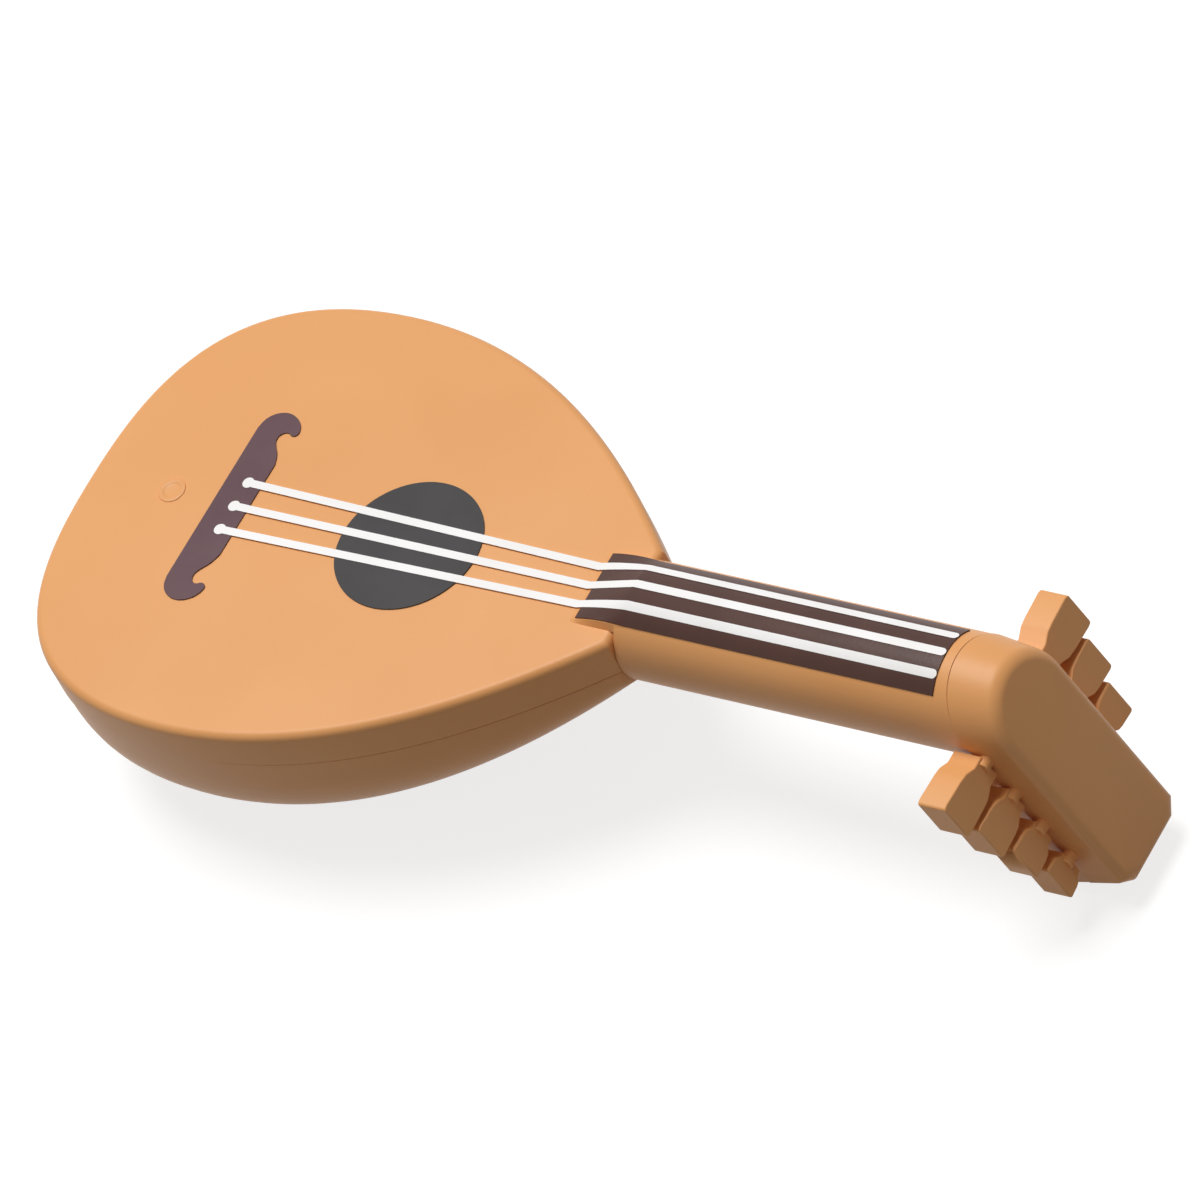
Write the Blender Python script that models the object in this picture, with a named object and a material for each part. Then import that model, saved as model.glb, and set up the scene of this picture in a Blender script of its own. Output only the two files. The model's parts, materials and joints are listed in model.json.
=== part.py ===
"""A small moulded plastic lute, built as the pieces it can be taken apart into.

The body is two half shells that meet at a seam below the soundboard. A round neck bar is held
between them by a T-shaped tang, and carries a bent-back pegbox on a spigot. Seven paddle pegs
are pressed into the pegbox, and the printed decoration lies on top as thin layers of ink.

Shapes are worked out in millimetres in the lute's own frame: x runs along the neck from the
centre of the sound hole towards the head, y across the soundboard, z up from the soundboard.
One empty then lays the whole lute on its back, with the bowl and the pegbox on the floor.
"""

from math import cos, pi, radians, sin, sqrt

import bmesh
import bpy
import numpy as np
from mathutils import Matrix, Vector

MM = 0.001
JOINT_GAP = 0.02

# Outline of the soundboard, a pear with a flat nose where the neck leaves it
TAIL_X = -10.55
WIDEST_X = -4.05
NOSE_X = 7.20
BODY_HALF_WIDTH = 7.13
NOSE_HALF_WIDTH = 1.60
TAIL_HANDLE = 2.60
REAR_HANDLE = 6.26
FRONT_HANDLE = 4.50
SHOULDER_HANDLE = 4.30
SHOULDER_ANGLE = radians(44)
OUTLINE_STEPS = 14

# Shells: soundboard plate with a short rim, the seam, and the bowl below it
BOARD_THICKNESS = 0.75
SEAM_DEPTH = 1.22
EDGE_RADIUS = 0.24
EDGE_STEPS = 3
RIM_WALL = 0.46
LIP_INSET = 0.50
LIP_HEIGHT = 0.40
CAVITY_INSET = 0.90
CAVITY_NOSE_X = 5.40
CAVITY_DEPTH_RATIO = 0.53
BOWL_INSET = 0.03
BOWL_DEPTH_RATIO = 0.59
BOWL_EXPONENT = 3.0
SECTION_STEPS = 14

# Neck bar, and the ramp that rises off the soundboard on to it
NECK_RADIUS = 1.59
NECK_AXIS_Z = -0.986
NECK_SIDES = 40
RAMP_START_X = 5.76
RAMP_FOOT_X = 5.93
RAMP_END_X = 7.50
RAMP_HALF_WIDTH = 1.10
RAMP_STEPS = 8
RAMP_SINK = 0.012
TANG_HALF_WIDTH = 0.70
TANG_Z = (-1.75, -0.80)
TANG_HEAD_X = (4.40, 5.30)
TANG_HEAD_HALF_WIDTH = 1.10
SPIGOT_RADIUS = 0.55
SPIGOT_END_X = 18.75

# Pegbox: a slab that leans forward, with a round knuckle where it takes the neck bar
LEAN = radians(17)
PEGBOX_FRONT_X = 18.97
PEGBOX_HALF_WIDTH = 1.45
PEGBOX_LENGTH = 6.78
ARCH_HEIGHT = 1.50
KNUCKLE_DEPTH = 1.31
KNUCKLE_GROWTH = 0.16
PEGBOX_EDGE_RADIUS = 0.28
TIP_CHAMFER = (0.38, 0.34)
ARCH_STEPS = 16
BACK_BLOCK_INSET = 0.01
BACK_BLOCK_START = 2.45
BACK_BLOCK_DEPTH = 2.20

# Pegs, in a row down each side of the pegbox, shorter towards its tip
RIGHT_PEGS = 4
LEFT_PEGS = 3
FIRST_PEG_ALONG = 1.26
PEG_PITCH = 1.31
PEG_DEPTH = 1.35
PEG_THICKNESS = 0.80
PEG_HALF_HEIGHT = 0.58
PEG_NECK_HALF_HEIGHT = 0.38
PEG_START = 1.65
PEG_REACH = 3.55
PEG_REACH_STEP = 0.38
SHANK_DEPTH = 1.02
SHANK_RADIUS = 0.20
SHANK_END = 0.88

# Printed decoration
INK_GAP = 0.01
INK_THICKNESS = 0.03
STRING_LIFT = 0.05
STRING_WIDTH = 0.28
STRING_TAIL_X = -5.70
STRING_DOT_RADIUS = 0.20
STRING_TAIL_SPACING = 0.80
STRING_NECK_SPACING = 0.63
HOLE_RADIUS = 2.11
HOLE_SIDES = 56
PRINT_X = (5.95, 17.10)
PRINT_HALF_WIDTH = 1.08
PRINT_STEPS = 12
BRIDGE_HALF = [
    (-6.42, 2.55), (-6.36, 2.86), (-6.15, 3.11), (-5.80, 3.23), (-5.45, 3.14), (-5.20, 2.92),
    (-5.10, 2.62), (-5.27, 2.50), (-5.45, 2.62), (-5.64, 2.52), (-5.68, 2.30), (-5.56, 2.10),
    (-5.38, 1.88), (-5.27, 1.55),
]

# Colours as linear red, green, blue
BOARD_ORANGE = (0.83, 0.41, 0.18)
INK_PLUM = (0.14, 0.08, 0.09)
INK_CHARCOAL = (0.09, 0.08, 0.08)
INK_BROWN = (0.08, 0.035, 0.025)
INK_WHITE = (0.90, 0.90, 0.88)


# Helpers

def clear_scene():
    """Remove whatever objects the file starts with."""
    for leftover in list(bpy.data.objects):
        bpy.data.objects.remove(leftover)


def surface(name, colour, roughness):
    """A plain plastic or ink material."""
    material = bpy.data.materials.new(name)
    material.use_nodes = True
    shader = material.node_tree.nodes["Principled BSDF"]
    shader.inputs["Base Color"].default_value = (*colour, 1.0)
    shader.inputs["Roughness"].default_value = roughness
    shader.inputs["Metallic"].default_value = 0.0
    return material


def add_solid(name, points, faces, material=None):
    """Turn points in millimetres and their faces into an object that follows the lute's empty."""
    mesh = bpy.data.meshes.new(name)
    mesh.from_pydata([Vector(point) * MM for point in points], [], faces)
    shape = bmesh.new()
    shape.from_mesh(mesh)
    bmesh.ops.remove_doubles(shape, verts=shape.verts, dist=0.0005 * MM)
    bmesh.ops.recalc_face_normals(shape, faces=shape.faces)
    shape.to_mesh(mesh)
    shape.free()
    mesh.shade_smooth()
    mesh.set_sharp_from_angle(angle=radians(30))
    if material is not None:
        mesh.materials.append(material)
    solid = bpy.data.objects.new(name, mesh)
    solid.parent = bpy.data.objects["lute"]
    bpy.context.scene.collection.objects.link(solid)
    return solid


def combine(solid, tool, operation):
    """Join a tool shape to a solid, or cut it away, and keep the tool as a guide."""
    change = solid.modifiers.new(operation.lower() + "_" + tool.name, "BOOLEAN")
    change.object = tool
    change.operation = operation
    change.solver = "EXACT"
    tool.hide_render = True
    tool.display_type = "WIRE"


def loft(rings):
    """Points and faces of a closed skin through rings of equal length, capped at both ends."""
    count = len(rings[0])
    points = [point for ring in rings for point in ring]
    faces = []
    for row in range(len(rings) - 1):
        for k in range(count):
            after = (k + 1) % count
            low = row * count
            high = low + count
            faces.append((low + k, low + after, high + after, high + k))
    faces.append(tuple(range(count)))
    faces.append(tuple(range((len(rings) - 1) * count, len(rings) * count)))
    return points, faces


def box(x_range, half_width, z_range):
    """Points and faces of a plain block that is centred across the lute."""
    back, front = x_range
    corners = [(back, -half_width), (front, -half_width), (front, half_width), (back, half_width)]
    return loft([[(x, y, z) for x, y in corners] for z in z_range])


def circle(radius, sides):
    """Points round a circle, as pairs."""
    return [(radius * cos(2 * pi * k / sides), radius * sin(2 * pi * k / sides)) for k in range(sides)]


def bezier(start, handle_a, handle_b, end, steps):
    """Points along one cubic curve, with both ends."""
    corners = np.array([start, handle_a, handle_b, end])
    curve = []
    for t in np.linspace(0.0, 1.0, steps + 1):
        weights = np.array([(1 - t) ** 3, 3 * t * (1 - t) ** 2, 3 * t * t * (1 - t), t ** 3])
        curve.append(tuple(float(value) for value in weights @ corners))
    return curve


def offset_loop(loop, inset):
    """A closed anticlockwise loop of pairs, moved inwards by the same distance everywhere."""
    moved = []
    for k, corner in enumerate(loop):
        here = Vector(corner)
        run_in = (here - Vector(loop[k - 1])).normalized()
        run_out = (Vector(loop[(k + 1) % len(loop)]) - here).normalized()
        inward = Vector((-run_in.y - run_out.y, run_in.x + run_out.x)).normalized()
        reach = inset / max(0.3, inward.dot(Vector((-run_in.y, run_in.x))))
        moved.append(tuple(here + inward * reach))
    return moved


# Body

def half_outline():
    """The +y half of the soundboard outline, from the nose back to the tail."""
    widest = (WIDEST_X, BODY_HALF_WIDTH)
    nose = (NOSE_X, NOSE_HALF_WIDTH)
    shoulder_x = NOSE_X - SHOULDER_HANDLE * cos(SHOULDER_ANGLE)
    shoulder_y = NOSE_HALF_WIDTH + SHOULDER_HANDLE * sin(SHOULDER_ANGLE)
    front_handle = (WIDEST_X + FRONT_HANDLE, BODY_HALF_WIDTH)
    rear_handle = (WIDEST_X - REAR_HANDLE, BODY_HALF_WIDTH)
    front = bezier(nose, (shoulder_x, shoulder_y), front_handle, widest, OUTLINE_STEPS)
    rear = bezier(widest, rear_handle, (TAIL_X, TAIL_HANDLE), (TAIL_X, 0.0), OUTLINE_STEPS)
    return front + rear[1:]


def full_outline(inset):
    """The whole outline, anticlockwise from the nose corner, moved inwards."""
    half = half_outline()
    other = [(x, -y) for x, y in reversed(half[:-1])]
    return offset_loop(half + other, inset)


def stations(inset, nose_x):
    """Where the bowl's cross-sections stand, as pairs of x and half width, nose first."""
    half = full_outline(inset)[:len(half_outline())]
    xs = [x for x, y in half][::-1]
    ys = [y for x, y in half][::-1]
    start = min(nose_x, xs[-1])
    rows = [(start, float(np.interp(start, xs, ys)))]
    rows += [(x, y) for x, y in half if x < start - 0.05 and y > 0.05]
    return rows, half[-1][0]


def bowl_solid(name, inset, nose_x, depth_ratio, rise, material=None):
    """A round-backed solid under the seam, whose cross-sections are boxy half ellipses."""
    rows, tail_x = stations(inset, nose_x)
    points = []
    power = 2.0 / BOWL_EXPONENT
    for x, half_width in rows:
        points.append((x, half_width, rise - SEAM_DEPTH))
        for k in range(SECTION_STEPS + 1):
            turn = pi * k / SECTION_STEPS
            across = half_width * abs(cos(turn)) ** power * (1 if k < SECTION_STEPS / 2 else -1)
            down = depth_ratio * half_width * abs(sin(turn)) ** power
            points.append((x, across, -SEAM_DEPTH - down - 2 * JOINT_GAP))
        points.append((x, -half_width, rise - SEAM_DEPTH))
    count = SECTION_STEPS + 3
    tail = len(points)
    points += [(tail_x, 0.0, -SEAM_DEPTH - 2 * JOINT_GAP), (tail_x, 0.0, rise - SEAM_DEPTH)]
    last = (len(rows) - 1) * count
    faces = []
    for low in range(0, last, count):
        faces += [(low + k, low + k + 1, low + count + k + 1, low + count + k) for k in range(count - 1)]
    faces += [(last + k, last + k + 1, tail) for k in range(1, count - 2)]
    faces += [(last, last + 1, tail, tail + 1), (last + count - 2, last + count - 1, tail + 1, tail)]
    faces.append(tuple(range(count)))
    left = list(range(0, last + 1, count))
    right = list(range(last + count - 1, 0, -count))
    faces.append(tuple(left + [tail + 1] + right))
    return add_solid(name, points, faces, material)


def front_shell(plastic):
    """Soundboard plate with its rounded edge and short rim, open underneath."""
    rings = []
    for k in range(EDGE_STEPS + 1):
        turn = pi / 2 * k / EDGE_STEPS
        drop = EDGE_RADIUS * (1 - cos(turn))
        rings.append([(x, y, -drop) for x, y in full_outline(EDGE_RADIUS * (1 - sin(turn)))])
    rings.append([(x, y, -SEAM_DEPTH) for x, y in full_outline(0.0)])
    rings.append([(x, y, -SEAM_DEPTH) for x, y in full_outline(RIM_WALL)])
    rings.append([(x, y, -BOARD_THICKNESS) for x, y in full_outline(RIM_WALL)])
    shell = add_solid("front_shell", *loft(rings), material=plastic)
    notch_x = (NOSE_X - 2 * RIM_WALL, NOSE_X + RIM_WALL)
    notch_z = (-SEAM_DEPTH - RIM_WALL, TANG_Z[1] + JOINT_GAP)
    combine(shell, add_solid("tang_notch", *box(notch_x, TANG_HALF_WIDTH + JOINT_GAP, notch_z)), "DIFFERENCE")
    return shell


def back_shell(plastic):
    """The bowl, with a lip that locates inside the rim and a groove for the neck's tang."""
    shell = bowl_solid("back_shell", BOWL_INSET, NOSE_X, BOWL_DEPTH_RATIO, -JOINT_GAP, plastic)
    lip = bowl_solid("bowl_lip", LIP_INSET, NOSE_X - LIP_INSET, CAVITY_DEPTH_RATIO, LIP_HEIGHT)
    cavity = bowl_solid("bowl_cavity", CAVITY_INSET, CAVITY_NOSE_X, CAVITY_DEPTH_RATIO, 2 * LIP_HEIGHT)
    groove_x = (TANG_HEAD_X[0], NOSE_X + RIM_WALL)
    groove_z = (TANG_Z[0] - JOINT_GAP, LIP_HEIGHT)
    combine(shell, lip, "UNION")
    combine(shell, cavity, "DIFFERENCE")
    combine(shell, add_solid("tang_groove", *box(groove_x, TANG_HALF_WIDTH + JOINT_GAP, groove_z)), "DIFFERENCE")
    return shell


# Neck

def ramp_share(x):
    """How far up the ramp a place is: 0 on the soundboard, 1 on the round bar."""
    return min(1.0, max(0.0, (x - RAMP_START_X) / (RAMP_END_X - RAMP_START_X)))


def top_height(x, y, lift):
    """Height of the surface that carries the print: soundboard, then ramp, then round bar."""
    crest = NECK_AXIS_Z + NECK_RADIUS + lift
    arch = NECK_AXIS_Z + sqrt((NECK_RADIUS + lift) ** 2 - y * y)
    share = ramp_share(x)
    return share * (crest - (crest - arch) * share) + (1 - share) * lift


def mitre_x(z, depth):
    """Where the plane at some depth behind the pegbox's face crosses a height."""
    return PEGBOX_FRONT_X - (depth + z * sin(LEAN)) / cos(LEAN)


def bar_ring(x):
    """One ring of the bar near the body, where its top follows the ramp."""
    ring = []
    for u, v in circle(NECK_RADIUS, NECK_SIDES):
        z = NECK_AXIS_Z + v
        ring.append((x, u, min(z, top_height(x, u, 0.0)) if z > 0 else z))
    return ring


def axis_rod(name, radius, end_x):
    """A rod on the bar's axis that runs across the joint between neck and pegbox."""
    start_x = mitre_x(NECK_AXIS_Z, 2 * KNUCKLE_DEPTH)
    rings = [[(x, u, NECK_AXIS_Z + v) for u, v in circle(radius, 24)] for x in (start_x, end_x)]
    return add_solid(name, *loft(rings))


def neck(plastic):
    """Round bar with its ramp, the tang that the shells clamp, and the spigot for the pegbox."""
    start = NOSE_X + JOINT_GAP
    rings = [bar_ring(start), bar_ring(RAMP_END_X)]
    rings.append([(mitre_x(z, KNUCKLE_DEPTH + JOINT_GAP), y, z) for x, y, z in bar_ring(RAMP_END_X)])
    bar = add_solid("neck", *loft(rings), material=plastic)
    across = [RAMP_HALF_WIDTH * (2 * k / RAMP_STEPS - 1) for k in range(RAMP_STEPS + 1)]
    ramp_rings = []
    for x in np.linspace(RAMP_FOOT_X, start + RIM_WALL / 2, RAMP_STEPS).tolist():
        crown = [(x, y, top_height(x, y, -RAMP_SINK)) for y in across]
        ramp_rings.append(crown + [(x, RAMP_HALF_WIDTH, JOINT_GAP), (x, -RAMP_HALF_WIDTH, JOINT_GAP)])
    combine(bar, add_solid("neck_ramp", *loft(ramp_rings)), "UNION")
    tang_x = (TANG_HEAD_X[0], NOSE_X + RIM_WALL)
    combine(bar, add_solid("neck_tang", *box(tang_x, TANG_HALF_WIDTH, TANG_Z)), "UNION")
    head_x = (TANG_HEAD_X[0] - JOINT_GAP, TANG_HEAD_X[1])
    head_z = (TANG_Z[0] + JOINT_GAP, TANG_Z[1] - JOINT_GAP)
    combine(bar, add_solid("tang_head", *box(head_x, TANG_HEAD_HALF_WIDTH, head_z)), "UNION")
    combine(bar, axis_rod("neck_spigot", SPIGOT_RADIUS, SPIGOT_END_X), "UNION")
    return bar


# Pegbox and pegs

def pegbox_point(along, across, depth):
    """A place on the leaning pegbox: along its face, across it, and behind the face."""
    x = PEGBOX_FRONT_X + along * sin(LEAN) - depth * cos(LEAN)
    return (x, across, -along * cos(LEAN) - depth * sin(LEAN))


def pegbox_ring(depth, inset):
    """Outline of the pegbox at a depth: an arch on the bar's axis, straight sides, cut corners."""
    growth = KNUCKLE_GROWTH * depth / KNUCKLE_DEPTH
    centre = (-NECK_AXIS_Z - depth * sin(LEAN)) / cos(LEAN)
    half_width = PEGBOX_HALF_WIDTH + growth - inset
    height = ARCH_HEIGHT + growth - inset
    loop = []
    for k in range(ARCH_STEPS + 1):
        turn = pi * k / ARCH_STEPS
        loop.append((centre - height * sin(turn), half_width * cos(turn)))
    end = PEGBOX_LENGTH - inset
    tip_half = PEGBOX_HALF_WIDTH - inset
    corner = [(end - TIP_CHAMFER[1], tip_half), (end, tip_half - TIP_CHAMFER[0])]
    loop += [(along, -across) for along, across in corner]
    loop += reversed(corner)
    return [pegbox_point(along, across, depth) for along, across in loop]


def back_block_ring(depth):
    """Outline of the thicker part of the slab, below the bar, at a depth."""
    half_width = PEGBOX_HALF_WIDTH - BACK_BLOCK_INSET
    end = PEGBOX_LENGTH - BACK_BLOCK_INSET
    half = [(BACK_BLOCK_START, half_width), (end - TIP_CHAMFER[1], half_width), (end, half_width - TIP_CHAMFER[0])]
    loop = half + [(along, -across) for along, across in reversed(half)]
    return [pegbox_point(along, across, depth) for along, across in loop]


def pegbox(plastic):
    """The leaning slab with its knuckle, the spigot's socket, and a hole for each peg."""
    rings = [pegbox_ring(KNUCKLE_DEPTH, 0.0)]
    for k in range(EDGE_STEPS + 1):
        turn = pi / 2 * k / EDGE_STEPS
        depth = PEGBOX_EDGE_RADIUS * (1 - sin(turn))
        rings.append(pegbox_ring(depth, PEGBOX_EDGE_RADIUS * (1 - cos(turn))))
    slab = add_solid("pegbox", *loft(rings), material=plastic)
    block_rings = [back_block_ring(KNUCKLE_DEPTH / 2), back_block_ring(BACK_BLOCK_DEPTH)]
    combine(slab, add_solid("pegbox_back", *loft(block_rings)), "UNION")
    socket = axis_rod("spigot_socket", SPIGOT_RADIUS + JOINT_GAP, SPIGOT_END_X + 2 * JOINT_GAP)
    combine(slab, socket, "DIFFERENCE")
    for side, number, along in peg_places():
        hole_name = ("right" if side < 0 else "left") + f"_peg_hole_{number + 1}"
        hole = shank(hole_name, side, along, SHANK_RADIUS + JOINT_GAP, SHANK_END - JOINT_GAP)
        combine(slab, hole, "DIFFERENCE")
    return slab


def peg_places():
    """Side (-1 right, 1 left), number and place along the pegbox of every peg."""
    places = []
    for side, count in ((-1, RIGHT_PEGS), (1, LEFT_PEGS)):
        places += [(side, number, FIRST_PEG_ALONG + PEG_PITCH * number) for number in range(count)]
    return places


def shank(name, side, along, radius, inner_end):
    """The round pin of a peg, from inside the pegbox to the root of the paddle."""
    rings = []
    for across in (inner_end, PEG_START + SHANK_RADIUS):
        ring = [pegbox_point(along + u, side * across, SHANK_DEPTH + v) for u, v in circle(radius, 16)]
        rings.append(ring)
    return add_solid(name, *loft(rings))


def paddle_outline(reach):
    """Half the outline of a paddle, from its narrow root to its flat end, as across and height."""
    length = reach - PEG_START
    return [
        (PEG_START, PEG_NECK_HALF_HEIGHT),
        (PEG_START + 0.20 * length, PEG_NECK_HALF_HEIGHT),
        (PEG_START + 0.36 * length, 0.84 * PEG_HALF_HEIGHT),
        (PEG_START + 0.50 * length, 0.93 * PEG_HALF_HEIGHT),
        (PEG_START + 0.92 * length, PEG_HALF_HEIGHT),
        (PEG_START + 0.98 * length, 0.94 * PEG_HALF_HEIGHT),
        (reach, 0.82 * PEG_HALF_HEIGHT),
    ]


def peg(name, side, number, along, plastic):
    """A flat paddle that stands out sideways, with level upper and lower faces, on its shank."""
    half = paddle_outline(PEG_REACH - PEG_REACH_STEP * number)
    outline = half + [(across, -height) for across, height in reversed(half)]
    rings = []
    for shift in (-0.5, 0.5):
        ring = []
        for across, height in outline:
            x, y, z = pegbox_point(along + height, side * across, PEG_DEPTH)
            ring.append((x + shift * PEG_THICKNESS / cos(LEAN), y, z))
        rings.append(ring)
    paddle = add_solid(name, *loft(rings), material=plastic)
    combine(paddle, shank(name + "_shank", side, along, SHANK_RADIUS, SHANK_END), "UNION")
    return paddle


# Printed decoration

def flat_print(name, outline, ink):
    """A thin flat layer of ink on the soundboard."""
    rings = [[(x, y, z) for x, y in outline] for z in (INK_GAP, INK_GAP + INK_THICKNESS)]
    return add_solid(name, *loft(rings), material=ink)


def bridge_outline():
    """A bar with a scroll at each end."""
    return [(x, -y) for x, y in BRIDGE_HALF] + [(x, y) for x, y in reversed(BRIDGE_HALF)]


def draped_print(name, rows, lift, steps, ink):
    """A thin layer of ink that follows the ramp and the bar: rows are x, middle y and half width."""
    rings = []
    for x, middle, half_width in rows:
        across = [middle + half_width * (2 * k / steps - 1) for k in range(steps + 1)]
        lower = [(x, y, top_height(x, y, lift)) for y in across]
        upper = [(x, y, top_height(x, y, lift + INK_THICKNESS)) for y in reversed(across)]
        rings.append(lower + upper)
    return add_solid(name, *loft(rings), material=ink)


def string_rows(side):
    """Rows of one string: a round dot at the tail, a long taper over the board, then the neck."""
    rows = []
    half = STRING_WIDTH / 2
    join = sqrt(STRING_DOT_RADIUS ** 2 - half ** 2)
    for turn in np.linspace(radians(160), float(np.arctan2(half, join)), 8):
        x = STRING_TAIL_X + STRING_DOT_RADIUS * float(np.cos(turn))
        rows.append((x, side * STRING_TAIL_SPACING, STRING_DOT_RADIUS * float(np.sin(turn))))
    end = PRINT_X[1]
    for x in np.linspace(RAMP_START_X, RAMP_END_X, RAMP_STEPS).tolist() + [end - half, end - half / 3, end]:
        rounding = max(0.0, x - (end - half)) / half
        rows.append((x, side * STRING_NECK_SPACING, half * sqrt(max(0.06, 1 - rounding ** 2))))
    return rows


def prints():
    """The dark sound hole, bridge and fingerboard, and three pale strings over them."""
    flat_print("sound_hole_print", circle(HOLE_RADIUS, HOLE_SIDES), surface("charcoal_ink", INK_CHARCOAL, 0.45))
    flat_print("bridge_print", bridge_outline(), surface("plum_ink", INK_PLUM, 0.45))
    ramp_places = np.linspace(PRINT_X[0], RAMP_END_X, RAMP_STEPS).tolist()
    board_rows = [(x, 0.0, PRINT_HALF_WIDTH) for x in ramp_places + [PRINT_X[1]]]
    brown = surface("brown_ink", INK_BROWN, 0.35)
    draped_print("fingerboard_print", board_rows, INK_GAP, PRINT_STEPS, brown)
    for number, side in enumerate((1, 0, -1), start=1):
        white = surface(f"white_ink_{number}", INK_WHITE, 0.40)
        draped_print(f"string_print_{number}", string_rows(side), STRING_LIFT, 3, white)


# Laying the lute down

def rest_points(name, lift):
    """Corners of one solid after the neck end is raised by an angle."""
    turn = Matrix.Rotation(-lift, 3, "Y")
    return [turn @ vertex.co for vertex in bpy.data.objects[name].data.vertices]


def lay_down(names):
    """Raise the neck until bowl and pegbox touch the floor together, and centre the lute."""
    low, high = 0.0, radians(12)
    for _ in range(50):
        middle = (low + high) / 2
        bowl_low = min(point.z for point in rest_points("back_shell", middle))
        tip = rest_points("pegbox", middle) + rest_points("pegbox_back", middle)
        if min(point.z for point in tip) < bowl_low:
            low = middle
        else:
            high = middle
    points = [point for name in names for point in rest_points(name, low)]
    empty = bpy.data.objects["lute"]
    empty.rotation_euler = (0.0, -low, 0.0)
    empty.location.x = -(min(point.x for point in points) + max(point.x for point in points)) / 2
    empty.location.y = -(min(point.y for point in points) + max(point.y for point in points)) / 2
    empty.location.z = -min(point.z for point in points)


def main():
    clear_scene()
    bpy.context.scene.collection.objects.link(bpy.data.objects.new("lute", None))
    front_shell(surface("orange_plastic_front", BOARD_ORANGE, 0.45))
    back_shell(surface("orange_plastic_back", BOARD_ORANGE, 0.45))
    neck(surface("orange_plastic_neck", BOARD_ORANGE, 0.40))
    pegbox(surface("orange_plastic_pegbox", BOARD_ORANGE, 0.45))
    for side, number, along in peg_places():
        name = ("right" if side < 0 else "left") + f"_peg_{number + 1}"
        peg(name, side, number, along, surface("orange_plastic_" + name, BOARD_ORANGE, 0.45))
    prints()
    lay_down(["front_shell", "back_shell", "neck", "pegbox", "pegbox_back"])


main()
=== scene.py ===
# %% [markdown]
# This lute is a toy about 32 mm long, injection moulded in orange plastic, with its sound hole,
# bridge, fingerboard and strings printed on in ink. Its solids are already made, and they say
# where everything is. They could be kept and only coloured, but their facets would show on
# something so smooth, so a finer mesh of the same shape stands for each of them here.

# %% Load the fixed frame
from math import atan2, cos, degrees, pi, radians, sin, sqrt
import json
import bmesh
import bpy
from mathutils import Matrix, Vector


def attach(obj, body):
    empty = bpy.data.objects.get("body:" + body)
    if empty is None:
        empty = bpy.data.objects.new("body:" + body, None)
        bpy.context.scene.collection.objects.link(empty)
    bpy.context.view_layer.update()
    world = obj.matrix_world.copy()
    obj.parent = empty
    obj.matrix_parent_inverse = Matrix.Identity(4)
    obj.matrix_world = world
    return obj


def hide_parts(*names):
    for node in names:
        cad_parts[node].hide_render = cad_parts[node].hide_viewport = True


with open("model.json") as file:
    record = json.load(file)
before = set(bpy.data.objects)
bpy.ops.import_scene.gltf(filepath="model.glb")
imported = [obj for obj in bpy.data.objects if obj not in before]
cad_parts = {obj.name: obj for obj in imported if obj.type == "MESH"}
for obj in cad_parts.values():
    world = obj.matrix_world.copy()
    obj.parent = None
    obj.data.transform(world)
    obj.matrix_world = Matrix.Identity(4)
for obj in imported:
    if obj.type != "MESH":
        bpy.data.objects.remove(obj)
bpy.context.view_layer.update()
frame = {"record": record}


# %% [markdown]
# The shapes are easiest to think about in the lute's own frame: x along the neck from the middle
# of the sound hole, y across the soundboard, z up from it, in millimetres. The lute lies tipped
# a little in the world, though. The tip could be typed in again as a number, but then it might
# not match the solids. The pegbox leans 17 degrees in the lute's own frame, so the lean of its
# front face in the world tells how far the whole lute is tipped back, and the mount on that
# face tells where the lute lies.

# %% The lute's own frame
MM = 0.001
LEAN = radians(17)
PEGBOX_FRONT_X = 18.97
FACE_MOUNT_ALONG = 3.6


def pegbox_point(along, across, depth):
    """A place on the leaning pegbox: along its face, across it, and behind the face."""
    x = PEGBOX_FRONT_X + along * sin(LEAN) - depth * cos(LEAN)
    return Vector((x, across, -along * cos(LEAN) - depth * sin(LEAN)))


face_mount = frame["record"]["mounts"][0]
face_axis = face_mount["axis"]
head_up = atan2(face_axis[2], face_axis[0]) - LEAN
turn_up = Matrix.Rotation(-head_up, 4, "Y")
mount_here = turn_up @ (pegbox_point(FACE_MOUNT_ALONG, 0.0, 0.0) * MM)
to_world = Matrix.Translation(Vector(face_mount["pos_m"]) - mount_here) @ turn_up
print("neck end raised by", round(degrees(head_up), 2), "degrees")

# %% [markdown]
# The camera was fitted to the photograph: its three axes are given in the lute's own frame, with
# its distance and focal length. The lens axis doesn't pass through the middle of the picture. A
# shift of the lens would allow for that, but turning the camera by under a degree, to aim at
# the middle of the picture, does nearly the same with nothing more to set.

# %% Camera
PICTURE = 1200
SENSOR = 36.0
DISTANCE = 318.3
FOCAL_PIXELS = 12113.0
AXIS_PIXEL = (428.8, 550.1)
CAMERA_ORIGIN = Vector((0.6325, 0.0, 0.0))
VIEW_RIGHT = Vector((0.8142, 0.4660, -0.3463))
VIEW_DOWN = Vector((0.1821, -0.7713, -0.6099))
VIEW_AHEAD = Vector((-0.5513, 0.4335, -0.7129))
CLIP_START = 0.01

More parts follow.
